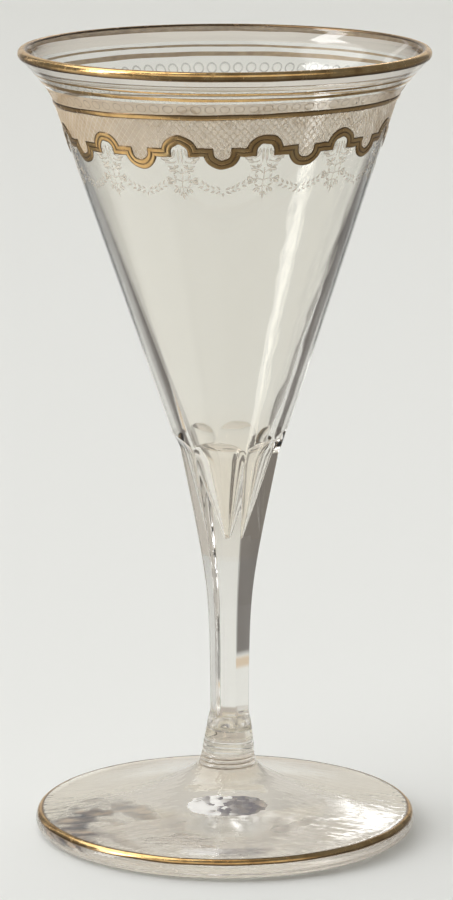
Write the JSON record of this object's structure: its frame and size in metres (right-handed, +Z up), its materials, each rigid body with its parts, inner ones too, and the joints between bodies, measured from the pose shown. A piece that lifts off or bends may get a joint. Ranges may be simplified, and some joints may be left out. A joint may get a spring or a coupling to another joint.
{
  "type": "sherry glass",
  "caption": "Stemmed sherry glass: conical clear bowl with a flared gilt lip and gilt scalloped border, flat-cut hexagonal stem, ringed collar and round gilt-edged foot.",
  "frame": {"origin": "centre of the foot's underside, on the surface that the glass stands on", "axes": "+Z up along the stem to the rim, -Y towards the viewer, +X to the viewer's right"},
  "size_m": [0.0654, 0.0654, 0.1272],
  "materials": {
    "clear_glass": "clear polished glass with etched ornament round the bowl",
    "gilding": "burnished fired gold, lightly worn"
  },
  "bodies": {
    "root": {"foot": "clear_glass", "stem_collar": "clear_glass", "stem": "clear_glass", "bowl": "clear_glass", "rim_gilding": "gilding", "upper_gilt_line": "gilding", "middle_gilt_line": "gilding", "lower_gilt_line": "gilding", "scalloped_gilt_border": "gilding", "foot_gilding": "gilding"}
  },
  "joints": []
}
